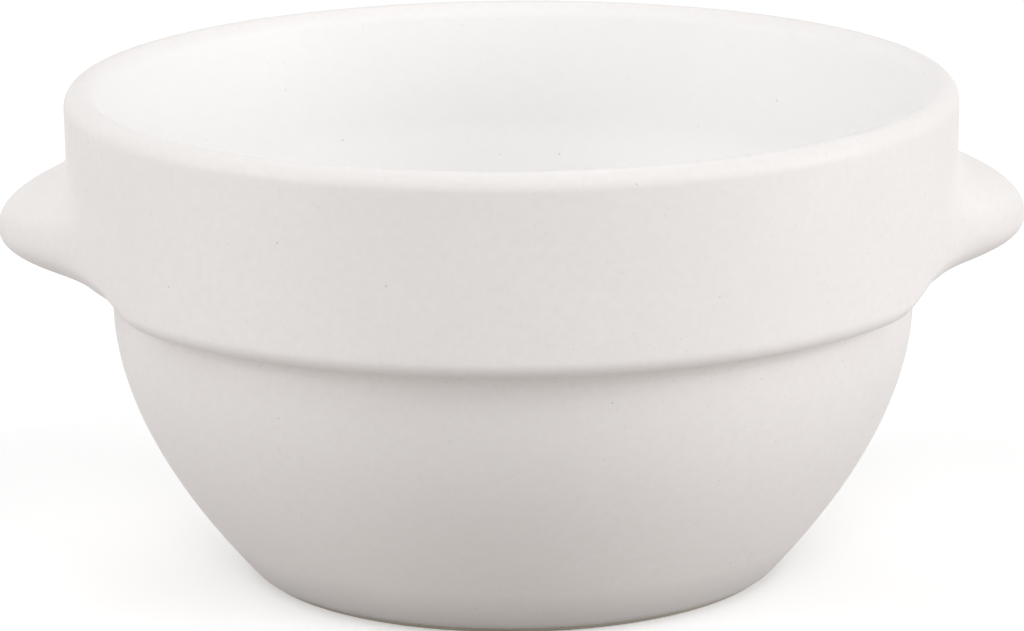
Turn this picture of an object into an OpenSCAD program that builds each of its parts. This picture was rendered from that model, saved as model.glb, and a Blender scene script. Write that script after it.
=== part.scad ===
// Lugged onion soup crock: a deep collared stoneware bowl with two solid side lugs,
// luted on with slip, glazed inside and out and left dry on its foot ring.
// The bowl's axis is Z, the table is z = 0 and the lugs lie along X.

/* [Overall] */
// Diameter over the glazed rim
rim_d = 120; // [104:1:140]
// Height from the table to the crown of the lip
crock_h = 66.7; // [60:0.1:78]

/* [Collar] */
// Height of the collar, from its underside to the crown of the lip
collar_h = 26.5; // [24:0.1:30]
// Thickness of the collar at the lip, which is fully rounded
lip_t = 4.5; // [3.6:0.1:5.6]
// How far the collar draws in from the lip to its lower edge, on the radius
collar_draft = 0.3; // [0:0.1:1.2]
// Rounding of the collar's lower edge
collar_edge_r = 1.8; // [1:0.1:3]
// How far the bowl sets in under the collar, on the radius
step_in = 5.7; // [4.6:0.1:6.8]

/* [Bowl] */
// Diameter across the foot at the table
foot_d = 70.4; // [62:0.2:80]
// Fullness of the bowl's outer curve, where 1 is a straight cone
bowl_fullness = 1.8; // [1.6:0.05:2.1]
// Thickness of the bowl's wall just under the collar
bowl_t = 4.7; // [4:0.1:5.6]
// Height of the inside floor above the table
floor_z = 6.2; // [5.6:0.1:7.4]
// How far below the collar's underside the inside starts to widen
widen_below = 5.5; // [4:0.1:7]
// How far above the collar's underside the inside has widened
widen_above = 10.5; // [8:0.1:13]
// Draw-in of the inside between there and the lip, on the radius
inside_draft = 1; // [0.4:0.1:1.6]

/* [Foot] */
// Width of the foot ring at the table
foot_w = 4.6; // [3.6:0.1:6]
// Depth of the recess inside the foot ring
recess_h = 2.4; // [1.8:0.1:3]
// Rounding where the recess meets the foot ring
recess_r = 1.6; // [0.8:0.1:2.4]
// Rounding of the foot ring's edges
foot_edge_r = 0.4; // [0.3:0.1:1]
// Height up to which the foot ring is left without glaze
dry_h = 0.9; // [0.7:0.1:1.3]

/* [Lugs] */
// How far each lug stands out from the rim
lug_reach = 9.2; // [7:0.1:13]
// Width of each lug where it meets the collar, not counting its fillet
lug_w = 34; // [26:1:44]
// Distance from the crown of the lip down to the lug's ridge
lug_drop = 18.8; // [17:0.1:20.5]
// Height of the lug above its ridge where it meets the collar
lug_rise = 7.7; // [6.5:0.1:9]
// Height of the lug's lowest place above the collar's underside
lug_lift = 1.2; // [0.8:0.1:2.4]
// Roundness of the lug's upper side, where 0.5 is a parabola and less is blunter
lug_upper_power = 0.46; // [0.4:0.02:0.6]
// The same of its lower side
lug_lower_power = 0.38; // [0.32:0.02:0.5]
// Squareness of the lug's section along the collar, where 2 is an oval and more is squarer
lug_section_power = 2.6; // [2:0.1:3]
// Fillet where the lug's top and sides run into the collar
lug_fillet_r = 1.6; // [0.8:0.1:2.4]
// How many times further that fillet runs along the collar at the sides than it does on top
lug_side_run = 2.4; // [1:0.1:3]

/* [Coats] */
// Thickness of the glaze
glaze_t = 0.3; // [0.2:0.05:0.4]
// Thickness of the slip between each lug and the collar
slip_t = 0.5; // [0.4:0.05:0.7]

/* [Hidden] */

$fn = 120;
// Steps along each curve of the section, and along each rounding
curve_steps = 20;
round_steps = 6;
// Rings of a lug from its tip to its fillet, rings of the fillet, and points round each ring
lug_rings = 10;
fillet_rings = 5;
lug_points = 40;

// The section's main radii and heights, over the glaze
rim_r = rim_d / 2;
lip_r = lip_t / 2;
collar_low_r = rim_r - collar_draft;
bowl_top_r = collar_low_r - step_in;
foot_r = foot_d / 2;
lip_z = crock_h - lip_r;
underside_z = crock_h - collar_h;
crease_r = step_in - collar_edge_r;
bowl_top_z = underside_z - crease_r;

// The inside: a superellipse up to the collar, then a soft widening into it
inside_r = bowl_top_r - bowl_t;
mouth_r = rim_r - lip_t;
inside_side_power = 1.9;
inside_floor_power = 4;
widen_z0 = underside_z - widen_below;
widen_z1 = underside_z + widen_above;
widen_step = mouth_r - inside_r - inside_draft;

// The foot ring's inner side slopes at 45 degrees
foot_in_r = foot_r - foot_w;
ceiling_r = foot_in_r - recess_h;

// The lug form starts inside the collar's wall, where its level is 0, and ends at its tip, where
// it is 1. Its lower side comes out of the collar just above the rounding of the lower edge.
lug_root = 2.5;
lug_ridge_z = crock_h - lug_drop;
lug_start_r = rim_r - lug_root;
lug_tip_r = rim_r + lug_reach;
lug_fall = lug_ridge_z - underside_z - lug_lift;
wall_level = lug_root / (lug_tip_r - lug_start_r);
last_level = 0.02;

function unit(v) = v / norm(v);
function backward(path) = [for (i = [len(path) - 1:-1:0]) path[i]];
function part_of(path, first, last) = [for (i = [first:last]) path[i]];

// Points on an arc about a centre, from one angle to another
function arc(centre, r, a0, a1) =
    [for (i = [0:round_steps]) let (a = a0 + (a1 - a0) * i / round_steps) centre + r * [cos(a), sin(a)]];

// Points that round the corner b of the line a, b, c
function rounded(a, b, c, r) =
    let (u = unit(a - b), v = unit(c - b), half = acos(u * v) / 2)
    let (centre = b + unit(u + v) * r / sin(half), reach = r / tan(half))
    let (p = b + u * reach - centre, q = b + v * reach - centre)
    let (a0 = atan2(p.y, p.x), turn = atan2(q.y, q.x) - a0)
    arc(centre, r, a0, a0 + turn - 360 * round(turn / 360));

// Direction of a path at point i, level where it starts or ends on the axis
function heading(path, i) =
    path[i].x == 0 ? [i == 0 ? 1 : -1, 0] : unit(path[min(i + 1, len(path) - 1)] - path[max(i - 1, 0)]);

// A path moved by d to its left, which is into the clay on each path below
function moved_in(path, d) = [for (i = [0:len(path) - 1]) let (h = heading(path, i)) path[i] + d * [-h.y, h.x]];

// Radius of the bowl's outside at height z
function bowl_r(z) = bowl_top_r - (bowl_top_r - foot_r) * pow(1 - z / bowl_top_z, bowl_fullness);

// Radius of the inside at height z
function widening(z) = let (t = min(max((z - widen_z0) / (widen_z1 - widen_z0), 0), 1)) t * t * (3 - 2 * t);
function inside_at(z) =
    let (down = min(max((bowl_top_z - z) / (bowl_top_z - floor_z), 0), 1))
    inside_r * pow(1 - pow(down, inside_side_power), 1 / inside_floor_power)
    + widen_step * widening(z)
    + inside_draft * max((z - widen_z1) / (lip_z - widen_z1), 0);

// The glazed surface from the foot up the outside to the crown of the lip
outside_line = concat(
    [for (i = [0:curve_steps - 1]) let (z = dry_h + (bowl_top_z - dry_h) * i / curve_steps) [bowl_r(z), z]],
    arc([bowl_top_r + crease_r, bowl_top_z], crease_r, 180, 90),
    part_of(arc([collar_low_r - collar_edge_r, underside_z + collar_edge_r], collar_edge_r, 270, 360),
            1, round_steps),
    arc([rim_r - lip_r, lip_z], lip_r, 0, 90));

// The glazed surface from the crown of the lip down the inside to the middle of the floor
lining_line = concat(
    arc([rim_r - lip_r, lip_z], lip_r, 90, 180),
    [for (i = [1:curve_steps]) let (z = lip_z + (bowl_top_z - lip_z) * i / curve_steps) [inside_at(z), z]],
    [for (i = [1:curve_steps - 1])
        let (z = bowl_top_z - (bowl_top_z - floor_z) * pow(sin(90 * i / curve_steps), 2 / inside_side_power))
        [inside_at(z), z]],
    [[0, floor_z]]);

// The glazed surface under the base, from the axis to the dry part of the foot ring
underside_line = concat(
    [[0, recess_h]],
    rounded([0, recess_h], [ceiling_r, recess_h], [foot_in_r, 0], recess_r),
    [[foot_in_r - dry_h, dry_h]]);

glazed_line = concat(outside_line, part_of(lining_line, 1, len(lining_line) - 1));
bare_line = moved_in(glazed_line, glaze_t);
bare_underside = moved_in(underside_line, glaze_t);
crown = len(outside_line) - 1;
floor_middle = len(glazed_line) - 1;

// Corners of the dry foot ring, where the bare surfaces run on down to the table
foot_run = unit([bowl_r(dry_h) - foot_r, dry_h]);
dry_end = bare_line[0];
foot_out = [dry_end.x - foot_run.x * dry_end.y / foot_run.y, 0];
recess_end = bare_underside[len(bare_underside) - 1];
foot_in = [recess_end.x + recess_end.y, 0];

// A coat of glaze between a glazed line and the bare line under it
module coat(over, under) {
    rotate_extrude() polygon(concat(over, backward(under)));
}

// Everything within the bowl's outside, with a layer of thickness t on the bare clay
module bowl_form(t) {
    line = moved_in(part_of(glazed_line, 0, crown), glaze_t - t);
    rotate_extrude() polygon(concat([[0, line[0].y]], line, [[0, line[crown].y]]));
}

// How far a lug's fillet spreads at a distance d out from the collar's wall
function spread(d) =
    let (up = min(max(lug_fillet_r - d, 0), lug_fillet_r)) lug_fillet_r - sqrt(pow(lug_fillet_r, 2) - pow(up, 2));

// A sine or cosine swollen, so that it draws a squarer oval
function swollen(v) = sign(v) * pow(abs(v), 2 / lug_section_power);

// One ring of a lug at radius r: a squarish oval, bent round the collar, whose half width fades out to
// the sides as a cosine does and whose heights above and below the ridge swell by their powers
function lug_ring(r, skin) =
    let (level = (r - lug_start_r) / (lug_tip_r - skin - lug_start_r))
    let (half_w = (lug_w / 2 - skin) * acos(sqrt(level)) / acos(sqrt(wall_level)))
    let (rise = (lug_rise - skin) * pow((1 - level) / (1 - wall_level), lug_upper_power))
    let (fall = (lug_fall - skin) * pow(1 - level, lug_lower_power))
    let (fillet = spread(r - (collar_low_r - skin)))
    [for (i = [0:lug_points - 1])
        let (t = 360 * i / lug_points)
        let (a = (half_w + fillet * lug_side_run) * swollen(cos(t)) / rim_r * 180 / PI)
        let (z = (sin(t) >= 0 ? rise + fillet : fall) * swollen(sin(t)))
        [r * cos(a), r * sin(a), lug_ridge_z + z]];

// A whole lug form on the +X side, thinner by a skin all round
module lug_form(skin) {
    tip_r = lug_tip_r - skin;
    wall_r = collar_low_r - skin;
    fillet_top_r = wall_r + lug_fillet_r;
    last_r = lug_start_r + (tip_r - lug_start_r) * last_level;
    radii = concat(
        [for (k = [1:lug_rings]) tip_r - (tip_r - fillet_top_r) * pow(k / lug_rings, 2)],
        [for (k = [1:fillet_rings]) wall_r + lug_fillet_r * (1 - sin(90 * k / fillet_rings))],
        [last_r]);
    points = concat([[tip_r, 0, lug_ridge_z]], [for (r = radii) each lug_ring(r, skin)],
                    [[lug_start_r, 0, lug_ridge_z]]);
    last = 1 + (len(radii) - 1) * lug_points;
    faces = concat(
        [for (i = [0:lug_points - 1]) [0, 1 + (i + 1) % lug_points, 1 + i]],
        [for (k = [0:len(radii) - 2], i = [0:lug_points - 1])
            let (a = 1 + k * lug_points + i, b = 1 + k * lug_points + (i + 1) % lug_points)
            each [[a, b, b + lug_points], [a, b + lug_points, a + lug_points]]],
        [for (i = [0:lug_points - 1]) [len(points) - 1, last + i, last + (i + 1) % lug_points]]);
    polyhedron(points, faces, convexity = 4);
}

module crock_body() color([0.86, 0.82, 0.74])
    rotate_extrude() polygon(concat(
        bare_underside,
        rounded(recess_end, foot_in, foot_out, foot_edge_r),
        rounded(foot_in, foot_out, dry_end, foot_edge_r),
        bare_line));

module lug() color([0.86, 0.82, 0.74])
    difference() {
        lug_form(glaze_t);
        bowl_form(slip_t);
    }

module slip_joint() color([0.70, 0.64, 0.56])
    intersection() {
        lug_form(glaze_t);
        difference() {
            bowl_form(slip_t);
            bowl_form(0);
        }
    }

module lining_glaze() color([0.96, 0.95, 0.93])
    coat(part_of(glazed_line, crown, floor_middle), part_of(bare_line, crown, floor_middle));

module outside_glaze() color([0.94, 0.93, 0.91])
    difference() {
        union() {
            coat(part_of(glazed_line, 0, crown), part_of(bare_line, 0, crown));
            for (side = [0, 180]) rotate([0, 0, side]) lug_form(0);
        }
        bowl_form(0);
        for (side = [0, 180]) rotate([0, 0, side]) lug_form(glaze_t);
    }

module underside_glaze() color([0.94, 0.93, 0.91])
    coat(underside_line, bare_underside);

crock_body();
rotate([0, 0, 180]) lug();  // left_lug
lug();  // right_lug
rotate([0, 0, 180]) slip_joint();  // left_slip_joint
slip_joint();  // right_slip_joint
lining_glaze();
outside_glaze();
underside_glaze();
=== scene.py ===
from math import ceil, cos, pi, radians, sin, sqrt

import bmesh
import bpy
import numpy as np
from mathutils import Matrix, Vector


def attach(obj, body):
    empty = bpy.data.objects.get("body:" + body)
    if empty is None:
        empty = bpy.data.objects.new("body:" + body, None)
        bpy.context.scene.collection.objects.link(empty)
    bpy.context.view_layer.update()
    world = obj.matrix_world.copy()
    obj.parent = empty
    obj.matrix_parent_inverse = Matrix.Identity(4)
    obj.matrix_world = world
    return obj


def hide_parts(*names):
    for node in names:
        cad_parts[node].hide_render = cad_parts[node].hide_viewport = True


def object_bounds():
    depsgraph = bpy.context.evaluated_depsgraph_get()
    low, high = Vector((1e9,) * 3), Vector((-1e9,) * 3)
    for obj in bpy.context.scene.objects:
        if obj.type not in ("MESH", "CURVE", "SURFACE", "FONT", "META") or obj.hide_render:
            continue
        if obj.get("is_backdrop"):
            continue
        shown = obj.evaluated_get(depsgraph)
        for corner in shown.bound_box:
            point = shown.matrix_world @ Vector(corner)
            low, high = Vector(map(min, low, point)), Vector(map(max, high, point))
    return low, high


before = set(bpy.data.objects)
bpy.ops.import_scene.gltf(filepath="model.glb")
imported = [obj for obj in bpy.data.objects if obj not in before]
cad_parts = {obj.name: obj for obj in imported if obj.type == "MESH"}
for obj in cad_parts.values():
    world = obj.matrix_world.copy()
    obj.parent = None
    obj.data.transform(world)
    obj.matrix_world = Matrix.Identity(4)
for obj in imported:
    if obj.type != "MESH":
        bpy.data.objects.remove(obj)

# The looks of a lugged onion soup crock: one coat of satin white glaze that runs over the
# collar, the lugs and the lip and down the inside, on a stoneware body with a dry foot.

MM = 0.001
cad_low, cad_high = (Vector(corner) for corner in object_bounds())

# Sizes of the section, over the glaze
rim_r = (cad_high.y - cad_low.y) / 2
crock_h = cad_high.z - cad_low.z
collar_h = 26.5 * MM
collar_draft = 0.3 * MM
collar_edge_r = 2.3 * MM
crease_r = 2.4 * MM
step_in = 5.7 * MM
lip_t = 4.5 * MM
foot_r = 35.2 * MM
bowl_top_drop = 3.9 * MM
bowl_fullness = 1.8
bowl_t = 4.7 * MM
floor_z = 6.2 * MM
widen_below = 5.5 * MM
widen_above = 10.5 * MM
inside_draft = 1.0 * MM
inside_side_power = 1.9
inside_floor_power = 4.0
foot_w = 4.6 * MM
recess_h = 2.4 * MM
recess_r = 1.6 * MM
foot_edge_r = 0.4 * MM
dry_h = 0.9 * MM
glaze_t = 0.3 * MM

# Sizes of a lug
lug_w = 34.0 * MM
lug_drop = 18.8 * MM
lug_rise = 7.7 * MM
lug_lift = 1.2 * MM
lug_root = 2.5 * MM
lug_upper_power = 0.46
lug_lower_power = 0.38
lug_section_power = 2.6
# How softly the collar runs into a lug: over its middle, and at its sides, and where along the collar
# the first turns into the second
lug_blend = 2.0 * MM
lug_side_blend = 4.0 * MM
side_start, side_full = 5.0 * MM, 13.0 * MM
# Near a lug the collar's lower edge is pared away to a cone that widens by the slope for each unit of
# height. The paring is full up to one angle from the lug's middle and runs out at the other.
paring = 4.2 * MM
paring_blend = 1.5 * MM
paring_slope = 1.3
paring_full, paring_none = radians(19), radians(37.5)

# Steps in which the glaze rounds each half of the lip
lip_steps = 14

# Places worked out from those sizes
lip_r = lip_t / 2
lip_z = crock_h - lip_r
collar_low_r = rim_r - collar_draft
underside_z = crock_h - collar_h
bowl_top_r = collar_low_r - step_in
bowl_top_z = underside_z - bowl_top_drop
inside_r = bowl_top_r - bowl_t
mouth_r = rim_r - lip_t
widen_z0 = underside_z - widen_below
widen_z1 = underside_z + widen_above
widen_step = mouth_r - inside_r - inside_draft
lug_ridge_z = crock_h - lug_drop
lug_start_r = rim_r - lug_root
lug_tip_r = (cad_high.x - cad_low.x) / 2
lug_fall = lug_ridge_z - underside_z - lug_lift
wall_level = lug_root / (lug_tip_r - lug_start_r)


def arc(centre, radius, first, last, steps):
    """Points on an arc of a section, as (radius, height), from one angle to another in degrees."""
    angles = np.radians(np.linspace(first, last, steps + 1))
    return [(centre[0] + radius * cos(a), centre[1] + radius * sin(a)) for a in angles]


def rounded(before, corner, after, radius, steps):
    """Points that round a corner of a section."""
    before, corner, after = (np.array(p) for p in (before, corner, after))
    back = (before - corner) / np.linalg.norm(before - corner)
    on = (after - corner) / np.linalg.norm(after - corner)
    half = np.arccos(back @ on) / 2
    middle = (back + on) / np.linalg.norm(back + on)
    centre = corner + middle * radius / sin(half)
    first = corner + back * radius / np.tan(half) - centre
    last = corner + on * radius / np.tan(half) - centre
    turn = np.arctan2(first[0] * last[1] - first[1] * last[0], first @ last)
    start = np.arctan2(first[1], first[0])
    return [(centre[0] + radius * cos(start + turn * t), centre[1] + radius * sin(start + turn * t))
            for t in np.linspace(0, 1, steps + 1)]


def moved_in(path, depth):
    """A section moved sideways into the clay, which is on its left."""
    points = np.array(path)
    run = np.gradient(points, axis=0)
    run[points[:, 0] == 0] = (-1, 0)
    run /= np.linalg.norm(run, axis=1)[:, None]
    return [tuple(p) for p in points + depth * np.stack([-run[:, 1], run[:, 0]], axis=1)]


def outside_section():
    """The glazed section from the dry foot up the outside to the crown of the lip."""
    bowl_steps, neck_steps, crease_steps, edge_steps, collar_step = 48, 8, 12, 14, 0.28 * MM
    bowl = []
    for z in np.linspace(dry_h, bowl_top_z, bowl_steps + 1)[:-1]:
        bowl.append((bowl_top_r - (bowl_top_r - foot_r) * (1 - z / bowl_top_z) ** bowl_fullness, z))
    crease_z = underside_z - crease_r
    neck = [(bowl_top_r, z) for z in np.linspace(bowl_top_z, crease_z, neck_steps + 1)[:-1]]
    crease = arc((bowl_top_r + crease_r, crease_z), crease_r, 180, 90, crease_steps)
    edge_centre = (collar_low_r - collar_edge_r, underside_z + collar_edge_r)
    edge = arc(edge_centre, collar_edge_r, 270, 360, edge_steps)
    wall_steps = ceil((lip_z - edge_centre[1]) / collar_step)
    wall = [(collar_low_r + collar_draft * t, edge_centre[1] + (lip_z - edge_centre[1]) * t)
            for t in np.linspace(0, 1, wall_steps + 1)[1:-1]]
    lip = arc((rim_r - lip_r, lip_z), lip_r, 0, 90, lip_steps)
    return bowl + neck + crease + edge + wall + lip


def inside_at(z):
    """Radius of the glazed inside at height z."""
    down = min(max((bowl_top_z - z) / (bowl_top_z - floor_z), 0), 1)
    t = min(max((z - widen_z0) / (widen_z1 - widen_z0), 0), 1)
    up = max((z - widen_z1) / (lip_z - widen_z1), 0)
    bowl = inside_r * (1 - down ** inside_side_power) ** (1 / inside_floor_power)
    return bowl + widen_step * t * t * (3 - 2 * t) + inside_draft * up


def inside_section():
    """The glazed section from the crown of the lip down the inside to the middle of the floor."""
    wall_steps, bowl_steps = 40, 48
    lip = arc((rim_r - lip_r, lip_z), lip_r, 90, 180, lip_steps)[1:]
    wall = [(inside_at(z), z) for z in np.linspace(lip_z, bowl_top_z, wall_steps + 1)[1:]]
    bowl = []
    for a in np.linspace(0, pi / 2, bowl_steps + 1)[1:-1]:
        z = bowl_top_z - (bowl_top_z - floor_z) * sin(a) ** (2 / inside_side_power)
        bowl.append((inside_at(z), z))
    return lip + wall + bowl + [(0.0, floor_z)]


def outside_ring(level, along, z):
    """Where a point lies against a lug's squarish ring at each level: above 1 is outside it."""
    half_w = lug_w / 2 * np.arccos(np.sqrt(level)) / np.arccos(sqrt(wall_level))
    if z > lug_ridge_z:
        height = lug_rise * ((1 - level) / (1 - wall_level)) ** lug_upper_power
    else:
        height = lug_fall * (1 - level) ** lug_lower_power
    return (along / half_w) ** lug_section_power + np.abs((z - lug_ridge_z) / height) ** lug_section_power


def lug_radius(angles, z):
    """How far the lug form reaches from the axis at each angle from its middle, at one height."""
    halvings, fall_off, near_end = 30, 0.6, 1e-9
    along = np.abs(angles) * rim_r
    low, high = np.full(len(angles), near_end), np.full(len(angles), 1 - near_end)
    widest = outside_ring(low, along, z)
    beyond = fall_off * (widest ** (1 / lug_section_power) - 1) * lug_w / 2
    for _ in range(halvings):
        middle = (low + high) / 2
        out = outside_ring(middle, along, z) > 1
        high = np.where(out, middle, high)
        low = np.where(out, low, middle)
    return lug_start_r + np.where(widest > 1, -beyond, (lug_tip_r - lug_start_r) * low)


def soft_max(a, b, blend):
    """The larger of two values, eased over a blend where they are close."""
    near = np.clip(blend - np.abs(a - b), 0, None) / blend
    return np.maximum(a, b) + near ** 2 * blend / 4


def ring_angles():
    """Angles round the crock, closer together over the lugs."""
    lug_reach_angle, fine, coarse = radians(31), radians(0.7), radians(1.6)
    lug_half = np.arange(0, lug_reach_angle, fine)
    rest_steps = ceil((pi - 2 * lug_reach_angle) / coarse)
    quarter = np.linspace(lug_reach_angle, pi - lug_reach_angle, rest_steps + 1)
    half = np.concatenate([lug_half, quarter, pi - lug_half[:0:-1]])
    return np.concatenate([half, half + pi])


def mesh_of_rings(name, rings, lining, closed_below):
    """A smooth mesh through rings of points, the last of them on the axis, with each ring's lining share."""
    same_place = 0.002 * MM
    count = len(rings[0])
    verts = [tuple(p) for ring in rings for p in ring]
    faces = []
    for k in range(len(rings) - 1):
        for i in range(count):
            j = (i + 1) % count
            faces.append((k * count + i, k * count + j, (k + 1) * count + j, (k + 1) * count + i))
    top = (len(rings) - 1) * count
    verts = verts[:top] + [verts[top]]
    faces = [f for f in faces if max(f) < top]
    faces += [(top - count + i, top - count + (i + 1) % count, top) for i in range(count)]
    if closed_below:
        faces.append(tuple(reversed(range(count))))
    mesh = bpy.data.meshes.new(name)
    mesh.from_pydata(verts, [], faces)
    share = mesh.attributes.new("lining", "FLOAT", "POINT")
    share.data.foreach_set("value", [lining[k // count] for k in range(len(verts))])
    merged = bmesh.new()
    merged.from_mesh(mesh)
    bmesh.ops.remove_doubles(merged, verts=merged.verts, dist=same_place)
    merged.to_mesh(mesh)
    merged.free()
    mesh.shade_smooth()
    piece = bpy.data.objects.new(name, mesh)
    bpy.context.scene.collection.objects.link(piece)
    return piece


def pared(radii, from_lug, z):
    """The radii of one ring, drawn in under the lugs where the collar's lower edge is pared away."""
    thinnest = 0.001 * MM
    t = np.clip((paring_none - np.abs(from_lug)) / (paring_none - paring_full), 0, 1)
    cut = collar_low_r + paring_slope * (z - underside_z - paring * t * t * (3 - 2 * t))
    step = radii - bowl_top_r
    left = np.maximum(cut - bowl_top_r, 0)
    blend = np.minimum(paring_blend, (step + left) / 2) + thinnest
    return bowl_top_r - soft_max(-step, -left, blend)


def ring(radii, angles, z):
    return np.stack([radii * np.cos(angles), radii * np.sin(angles), np.full(len(angles), z)], axis=1)


def glaze_coat():
    """One coat from the dry foot over the collar, lugs and lip to the middle of the inside floor."""
    # The coat's lower edge turns in under its face, by shares of its thickness inward and upward
    turn_in = [(1.4, 0.4), (0.9, -0.25), (0.35, -0.2)]
    angles = ring_angles()
    from_lug = (angles + pi / 2) % pi - pi / 2
    outside, inside = outside_section(), inside_section()
    foot_edge = outside[0]
    tuck = [(foot_edge[0] - inward * glaze_t, foot_edge[1] + upward * glaze_t)
            for inward, upward in turn_in]
    rings = [ring(np.full(len(angles), r), angles, z) for r, z in tuck]
    t = np.clip((np.abs(from_lug) * rim_r - side_start) / (side_full - side_start), 0, 1)
    blend = lug_blend + (lug_side_blend - lug_blend) * t * t * (3 - 2 * t)
    for radius, z in outside:
        radii = np.full(len(angles), radius)
        if bowl_top_z < z < lip_z:
            radii = pared(radii, from_lug, z)
            radii = np.minimum(soft_max(radii, lug_radius(from_lug, z), blend), lug_tip_r)
        rings.append(ring(radii, angles, z))
    lip_start = len(rings) - 1
    rings += [ring(np.full(len(angles), r), angles, z) for r, z in inside]
    lining = np.clip((np.arange(len(rings)) - lip_start) / lip_steps, 0, 1)
    return mesh_of_rings("glaze_coat", rings, lining, closed_below=False)


def crock_wall():
    """The clay of the bowl, a glaze coat inside the glazed surfaces, with its dry foot ring."""
    corner_steps = 6
    angles = ring_angles()
    from_lug = (angles + pi / 2) % pi - pi / 2
    coated = outside_section() + inside_section()
    clay = moved_in(coated, glaze_t)
    foot_in_r = foot_r - foot_w
    ceiling_r = foot_in_r - recess_h
    recess = rounded((0, recess_h), (ceiling_r, recess_h), (foot_in_r, 0), recess_r, corner_steps)
    under = moved_in([(0.0, recess_h)] + recess + [(foot_in_r - dry_h, dry_h)], glaze_t)
    run = np.array(coated[0]) - np.array((foot_r, 0))
    foot_out = (clay[0][0] - run[0] * clay[0][1] / run[1], 0.0)
    foot_in = (under[-1][0] + under[-1][1], 0.0)
    inner_corner = rounded(under[-1], foot_in, foot_out, foot_edge_r, corner_steps)
    outer_corner = rounded(foot_in, foot_out, clay[0], foot_edge_r, corner_steps)
    rings = []
    for radius, z in under[1:] + inner_corner + outer_corner + clay:
        radii = np.full(len(angles), radius)
        if len(rings) < len(under) + 2 * corner_steps + len(outside_section()) and z > bowl_top_z:
            radii = np.minimum(radii, pared(radii + glaze_t, from_lug, z - glaze_t) - glaze_t)
        rings.append(ring(radii, angles, z))
    return mesh_of_rings("crock_wall", rings, np.zeros(len(rings)), closed_below=True)


# Node building

class Shader:
    """Builds one material's nodes, with its object's coordinates in metres at hand."""

    def __init__(self, name):
        self.material = bpy.data.materials.new(name)
        self.material.use_nodes = True
        self.tree = self.material.node_tree
        self.surface = self.tree.nodes["Principled BSDF"]
        self.place = self.tree.nodes.new("ShaderNodeTexCoord").outputs["Object"]

    def link(self, source, target):
        self.tree.links.new(source, target)

    def node(self, kind, inputs=(), **settings):
        made = self.tree.nodes.new(kind)
        for key, value in settings.items():
            setattr(made, key, value)
        for key, value in dict(inputs).items():
            if isinstance(value, bpy.types.NodeSocket):
                self.link(value, made.inputs[key])
            else:
                made.inputs[key].default_value = value
        return made

    def noise(self, size, detail=2.0):
        """Noise whose features are about a size across, from 0 to 1."""
        inputs = {"Vector": self.place, "Scale": 1 / size, "Detail": detail}
        return self.node("ShaderNodeTexNoise", inputs).outputs["Fac"]

    def ramp(self, value, low, high, to_low, to_high):
        """A value taken from one range to another, held at its ends."""
        inputs = {"Value": value, "From Min": low, "From Max": high, "To Min": to_low, "To Max": to_high}
        return self.node("ShaderNodeMapRange", inputs).outputs["Result"]

    def math(self, operation, a, b=0.0):
        return self.node("ShaderNodeMath", {0: a, 1: b}, operation=operation).outputs[0]

    def mix(self, factor, a, b):
        made = self.node("ShaderNodeMix", data_type="RGBA")
        for index, value in ((0, factor), (6, a), (7, b)):
            if isinstance(value, bpy.types.NodeSocket):
                self.link(value, made.inputs[index])
            else:
                made.inputs[index].default_value = value
        return made.outputs[2]

    def bump(self, height, depth, under=None):
        """A bump of a depth in metres, over another bump."""
        inputs = {"Height": height, "Distance": depth, "Strength": 1.0}
        if under is not None:
            inputs["Normal"] = under
        return self.node("ShaderNodeBump", inputs).outputs["Normal"]


def specks(shader, spacing, radius, share):
    """1 on tiny dots with soft edges, about a spacing apart, in a share of the cells."""
    core = 0.3
    cells = shader.node("ShaderNodeTexVoronoi", {"Vector": shader.place, "Scale": 1 / spacing})
    dot = shader.ramp(cells.outputs["Distance"], radius / spacing, core * radius / spacing, 0.0, 1.0)
    pick = shader.node("ShaderNodeSeparateColor", {"Color": cells.outputs["Color"]}).outputs[0]
    return shader.math("MULTIPLY", dot, shader.math("GREATER_THAN", pick, 1 - share))


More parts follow.
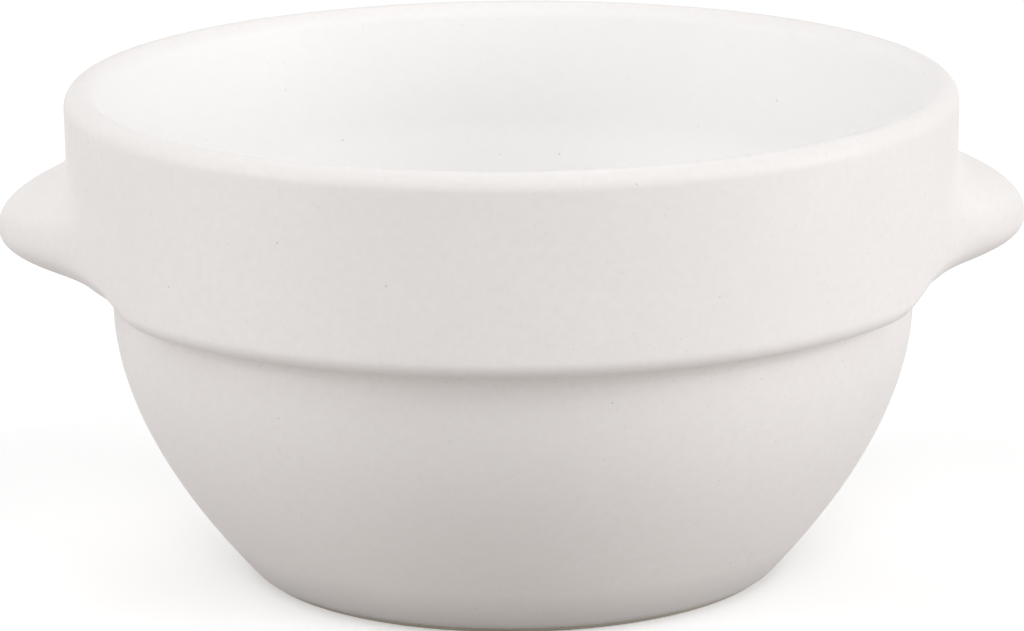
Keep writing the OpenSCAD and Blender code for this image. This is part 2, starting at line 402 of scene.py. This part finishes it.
def glaze_material():
    """Satin white glaze with a fine grain, sparse specks, specks along the crease that are partly painted
    shade, painted shade towards the foot, and orange peel.
    """
    cloud_size, grain_size, gloss_size, wave_size, peel_size = 30 * MM, 1.1 * MM, 9 * MM, 7 * MM, 1.1 * MM
    speck_r, pit_spacing, pin_spacing, grit_spacing = 0.2 * MM, 1.5 * MM, 2.8 * MM, 0.8 * MM
    pit_share, pit_lining_share, pin_share, grit_share, foot_shade_share = 0.09, 0.03, 0.4, 0.2, 0.8
    grain_share, grain_lining_share = 0.5, 0.1
    wave_depth, peel_depth, hole_depth = 0.05 * MM, 0.008 * MM, 0.03 * MM
    crease_low, crease_high, crease_fade = underside_z - 2.6 * MM, underside_z + 0.9 * MM, 0.6 * MM
    foot_shade_low, foot_shade_high = 0.5 * MM, 7.0 * MM
    outside_grey, outside_pale = (0.866, 0.835, 0.824, 1), (0.880, 0.851, 0.842, 1)
    lining_lit_white, grain_buff = (0.927, 0.916, 0.912, 1), (0.83, 0.795, 0.77, 1)
    pit_brown, pin_brown, grit_brown = (0.40, 0.36, 0.33, 1), (0.36, 0.33, 0.29, 1), (0.36, 0.31, 0.26, 1)
    foot_shade_grey = (0.67, 0.645, 0.63, 1)
    s = Shader("satin_white_glaze")

    # Faint clouds of two whites outside, a whiter lining, and a buff grain over both, fainter on the lining.
    # The whiter, more neutral lining and its fainter grain are painted light, standing in for the brighter
    # look of the well-lit inside
    clouds = s.ramp(s.noise(cloud_size), 0.35, 0.65, 0.0, 1.0)
    outside = s.mix(clouds, outside_grey, outside_pale)
    lining = s.node("ShaderNodeAttribute", attribute_name="lining").outputs["Fac"]
    colour = s.mix(lining, outside, lining_lit_white)
    outside_share = s.math("SUBTRACT", 1.0, lining)
    grain = s.ramp(s.noise(grain_size, 4.0), 0.3, 0.7, 0.0, 1.0)
    grain = s.math("MULTIPLY", grain, s.ramp(lining, 0.0, 1.0, grain_share, grain_lining_share))
    colour = s.mix(grain, colour, grain_buff)

    # Faint pits, fainter on the lining, and sparse darker pins
    pits = specks(s, pit_spacing, speck_r, 0.6)
    pit_strength = s.ramp(lining, 0.0, 1.0, pit_share, pit_lining_share)
    colour = s.mix(s.math("MULTIPLY", pits, pit_strength), colour, pit_brown)
    pins = specks(s, pin_spacing, speck_r, 0.25)
    colour = s.mix(s.math("MULTIPLY", pins, pin_share), colour, pin_brown)

    # Specks along the crease under the collar, partly the glaze's own specks and partly painted shade that
    # darkens the line where the collar turns under, and painted shade that darkens and greys the coat
    # towards the foot
    height = s.node("ShaderNodeSeparateXYZ", {"Vector": s.place}).outputs["Z"]
    below = s.ramp(height, crease_low - crease_fade, crease_low + crease_fade, 0.0, 1.0)
    above = s.ramp(height, crease_high - crease_fade, crease_high + crease_fade, 1.0, 0.0)
    crease = s.math("MULTIPLY", s.math("MULTIPLY", below, above), outside_share)
    # Partly painted shade: specks that darken the band of the crease under the collar
    grit = s.math("MULTIPLY", specks(s, grit_spacing, speck_r, 0.6), crease)
    colour = s.mix(s.math("MULTIPLY", grit, grit_share), colour, grit_brown)
    # Painted shade: the coat darkens and greys from 7 mm up towards the foot, where the floor shades it
    foot_shade = s.math("MULTIPLY", s.ramp(height, foot_shade_low, foot_shade_high, foot_shade_share, 0.0), outside_share)
    colour = s.mix(foot_shade, colour, foot_shade_grey)
    s.link(colour, s.surface.inputs["Base Color"])

    # A satin gloss, slow waves, orange peel and the holes of the pits and pins
    s.link(s.ramp(s.noise(gloss_size), 0.3, 0.7, 0.50, 0.58), s.surface.inputs["Roughness"])
    waves = s.bump(s.noise(wave_size, 1.0), wave_depth)
    peel = s.bump(s.noise(peel_size, 1.0), peel_depth, waves)
    holes = s.math("MULTIPLY", s.math("MAXIMUM", pits, pins), -1.0)
    s.link(s.bump(holes, hole_depth, peel), s.surface.inputs["Normal"])
    s.surface.inputs["Specular IOR Level"].default_value = 0.4
    return s.material


def stoneware_material(name, colour, dark):
    """Fired bare clay: matt, grainy and finely speckled."""
    cloud_size, gloss_size, grain_size, grain_depth = 12 * MM, 2 * MM, 0.5 * MM, 0.03 * MM
    grit_spacing, grit_r, grit_share, grit_brown = 1.4 * MM, 0.14 * MM, 0.5, (0.33, 0.27, 0.20, 1)
    s = Shader(name)
    clouds = s.ramp(s.noise(cloud_size, 3.0), 0.3, 0.7, 0.0, 0.5)
    base = s.mix(clouds, colour, dark)
    grit = s.math("MULTIPLY", specks(s, grit_spacing, grit_r, 0.3), grit_share)
    s.link(s.mix(grit, base, grit_brown), s.surface.inputs["Base Color"])
    s.link(s.ramp(s.noise(gloss_size), 0.3, 0.7, 0.78, 0.92), s.surface.inputs["Roughness"])
    s.link(s.bump(s.noise(grain_size, 3.0), grain_depth), s.surface.inputs["Normal"])
    return s.material


def dress(piece, material):
    piece.data.materials.clear()
    piece.data.materials.append(material)


# Light, floor and camera

def camera_ray_share(tree):
    """1 on rays that show the background: those of the camera, of gloss and of glass."""
    path = tree.nodes.new("ShaderNodeLightPath")
    both = tree.nodes.new("ShaderNodeMath")
    both.operation = "MAXIMUM"
    tree.links.new(path.outputs["Is Camera Ray"], both.inputs[0])
    tree.links.new(path.outputs["Is Glossy Ray"], both.inputs[1])
    shown = tree.nodes.new("ShaderNodeMath")
    shown.operation = "MAXIMUM"
    tree.links.new(both.outputs[0], shown.inputs[0])
    tree.links.new(path.outputs["Is Transmission Ray"], shown.inputs[1])
    return shown.outputs[0]


def make_world():
    """White where it shows, and a dim even sky for the object."""
    sky, white = (0.25, 0.25, 0.25, 1), (1, 1, 1, 1)
    world = bpy.data.worlds.new("studio")
    world.use_nodes = True
    bpy.context.scene.world = world
    tree = world.node_tree
    background = tree.nodes["Background"]
    mix = tree.nodes.new("ShaderNodeMix")
    mix.data_type = "RGBA"
    mix.inputs[6].default_value = sky
    mix.inputs[7].default_value = white
    tree.links.new(camera_ray_share(tree), mix.inputs[0])
    tree.links.new(mix.outputs[2], background.inputs["Color"])


def make_floor():
    """A pale floor, white to the camera and greyer to the light that it throws back."""
    half, near_floor, far_floor, near_glow, far_glow = 2.0, 0.45, 1.0, 0.25, 1.0
    bounced, seen = (0.49, 0.47, 0.45, 1), (0.97, 0.97, 0.97, 1)
    mesh = bpy.data.meshes.new("floor")
    corners = [(-half, -half, 0), (half, -half, 0), (half, half, 0), (-half, half, 0)]
    mesh.from_pydata(corners, [], [(0, 1, 2, 3)])
    floor = bpy.data.objects.new("floor", mesh)
    bpy.context.scene.collection.objects.link(floor)
    s = Shader("pale_floor")
    shown = camera_ray_share(s.tree)
    s.link(s.mix(shown, bounced, seen), s.surface.inputs["Base Color"])
    s.surface.inputs["Emission Color"].default_value = (1, 1, 1, 1)
    distance = s.node("ShaderNodeVectorMath", {0: s.place}, operation="LENGTH").outputs["Value"]
    glow = s.ramp(distance, near_floor, far_floor, near_glow, far_glow)
    s.link(s.math("MULTIPLY", shown, glow), s.surface.inputs["Emission Strength"])
    s.surface.inputs["Roughness"].default_value = 0.9
    s.surface.inputs["Specular IOR Level"].default_value = 0.1
    dress(floor, s.material)
    floor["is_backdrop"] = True


def soft_light(name, place, size, power):
    """A square soft box that faces the crock."""
    data = bpy.data.lights.new(name, "AREA")
    data.size = size
    data.energy = power
    lamp = bpy.data.objects.new(name, data)
    lamp.location = place
    to_crock = Vector((0, 0, crock_h / 2)) - lamp.location
    lamp.rotation_euler = to_crock.to_track_quat("-Z", "Y").to_euler()
    bpy.context.scene.collection.objects.link(lamp)


def make_camera():
    """The photograph's view: a long lens, a little above the rim and a touch to the left."""
    distance = 0.75
    pixels_per_metre = 7376.0
    image_width, sensor = 1024, 36.0
    down, round_left, roll = radians(13.83), radians(1.45), radians(0.51)
    aim_left, aim_up = 0.19 * MM, 0.78 * MM
    aim = Vector((-aim_left, 0, crock_h / 2 + aim_up))
    back = Vector((-sin(round_left) * cos(down), -cos(round_left) * cos(down), sin(down)))
    data = bpy.data.cameras.new("camera")
    data.sensor_width = sensor
    data.lens = pixels_per_metre * distance * sensor / image_width
    camera = bpy.data.objects.new("camera", data)
    turn = (-back).to_track_quat("-Z", "Y").to_matrix().to_4x4() @ Matrix.Rotation(-roll, 4, "Z")
    camera.matrix_world = Matrix.Translation(aim + back * distance) @ turn
    bpy.context.scene.collection.objects.link(camera)
    bpy.context.scene.camera = camera


# Each soft box: its name, its place and side in metres, and its power in watts
soft_boxes = [
    ("left_box", (-0.99, -0.27, 0.31), 0.5, 2.9),
    ("left_high_box", (-0.75, -0.20, 0.79), 0.7, 2.1),
    ("left_front_box", (-0.50, -0.60, 0.79), 0.7, 1.3),
    ("front_box", (0.0, -1.03, 0.31), 0.5, 1.4),
    ("right_front_box", (0.50, -0.60, 0.79), 0.7, 2.8),
    ("right_box", (0.99, -0.27, 0.31), 0.5, 4.8),
    ("back_box", (0.0, 0.60, 0.85), 0.7, 2.3),
]

bpy.context.scene.view_settings.view_transform = "Standard"
make_world()
make_floor()
make_camera()
for soft_box in soft_boxes:
    soft_light(*soft_box)

glaze = glaze_material()
clay = stoneware_material("bare_stoneware", (0.66, 0.61, 0.53, 1), (0.58, 0.53, 0.45, 1))
slip = stoneware_material("fired_slip", (0.58, 0.53, 0.46, 1), (0.52, 0.47, 0.40, 1))

coat = glaze_coat()
dress(coat, glaze)
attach(coat, "root")
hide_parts("outside_glaze", "lining_glaze")

wall = crock_wall()
dress(wall, clay)
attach(wall, "root")
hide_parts("crock_body")

dress(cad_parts["underside_glaze"], glaze)
for node in ("left_lug", "right_lug"):
    dress(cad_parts[node], clay)
for node in ("left_slip_joint", "right_slip_joint"):
    dress(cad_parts[node], slip)
